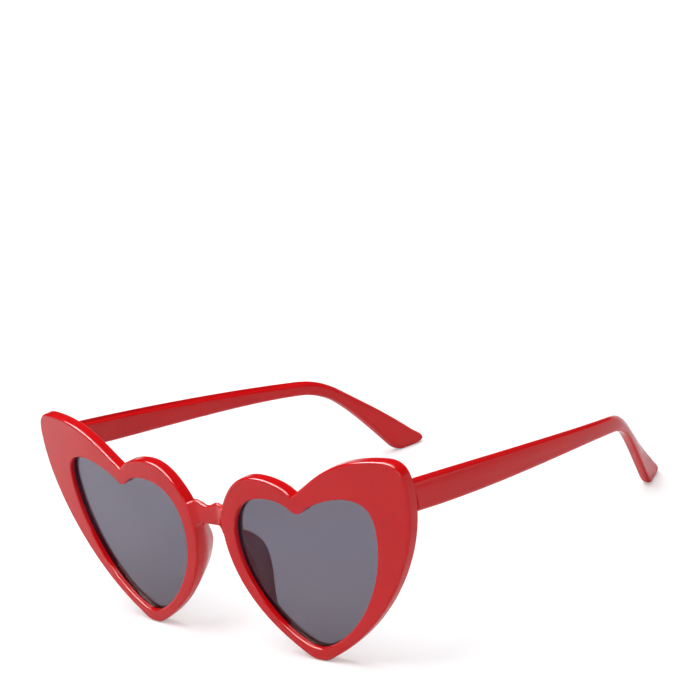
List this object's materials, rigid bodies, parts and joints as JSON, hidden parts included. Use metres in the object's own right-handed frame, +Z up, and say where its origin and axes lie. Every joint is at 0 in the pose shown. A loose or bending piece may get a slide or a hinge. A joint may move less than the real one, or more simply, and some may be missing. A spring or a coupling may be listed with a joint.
{
  "type": "heart shaped sunglasses",
  "caption": "Sunglasses with winged, heart shaped rims in glossy plastic, smoke tinted lenses and temples that fold in on screw hinges.",
  "frame": {"origin": "on the floor plane that both rims' feet and both temple tips stand on, under the middle of the bounding box", "axes": "+Z up, the wearer looks along -Y, +X to the wearer's left, the temples run back along +Y"},
  "size_m": [0.148, 0.1466, 0.062],
  "materials": {
    "red_plastic": "polished, glossy red",
    "smoke_lens": "smooth, smoke tinted, see-through",
    "hinge_steel": "nickel plated, satin"
  },
  "bodies": {
    "front": {"front_frame": "red_plastic", "lens_left": "smoke_lens", "lens_right": "smoke_lens", "nose_pad_left": "red_plastic", "nose_pad_right": "red_plastic", "hinge_front_left": "hinge_steel", "hinge_front_right": "hinge_steel", "hinge_screw_left": "hinge_steel", "hinge_screw_right": "hinge_steel"},
    "temple_left": {"temple_left": "red_plastic", "hinge_temple_left": "hinge_steel"},
    "temple_right": {"temple_right": "red_plastic", "hinge_temple_right": "hinge_steel"}
  },
  "joints": [
    {"name": "fold_left", "type": "hinge", "parent": "front", "child": "temple_left", "pos_m": [0.0682, -0.06301, 0.0513], "axis": [0, 0, 1], "range_deg": [0, 82]},
    {"name": "fold_right", "type": "hinge", "parent": "front", "child": "temple_right", "pos_m": [-0.0682, -0.06301, 0.0513], "axis": [0, 0, -1], "range_deg": [0, 75]}
  ]
}
